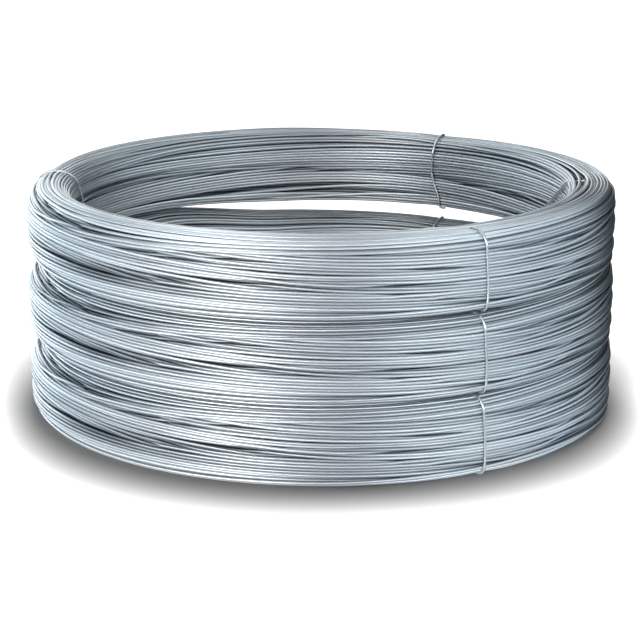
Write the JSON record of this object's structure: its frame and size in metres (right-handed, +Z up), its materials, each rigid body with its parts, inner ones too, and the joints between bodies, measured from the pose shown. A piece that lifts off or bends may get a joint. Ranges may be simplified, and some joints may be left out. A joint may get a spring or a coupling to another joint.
{
  "type": "coil of galvanized steel wire",
  "caption": "Round stack of bound rings of galvanized steel wire with an open eye, stock to be paid out for fencing, tying and baling.",
  "frame": {"origin": "on the axis of the eye, at the level that the coil stands on", "axes": "+Z up the axis of the eye; -Y is the front; +X is the right seen from the front"},
  "size_m": [0.668, 0.668, 0.2626],
  "materials": {
    "zinc_wire": "hot-dip zinc, drawn, semi-bright",
    "tie_wire": "hot-dip zinc, bright"
  },
  "bodies": {
    "root": {"coil_bottom": "zinc_wire", "coil_middle": "zinc_wire", "coil_top": "zinc_wire", "tie_bottom_front": "tie_wire", "tie_bottom_right": "tie_wire", "tie_bottom_back": "tie_wire", "tie_bottom_left": "tie_wire", "tie_middle_front": "tie_wire", "tie_middle_right": "tie_wire", "tie_middle_back": "tie_wire", "tie_middle_left": "tie_wire", "tie_top_front": "tie_wire", "tie_top_right": "tie_wire", "tie_top_back": "tie_wire", "tie_top_left": "tie_wire"}
  },
  "joints": []
}
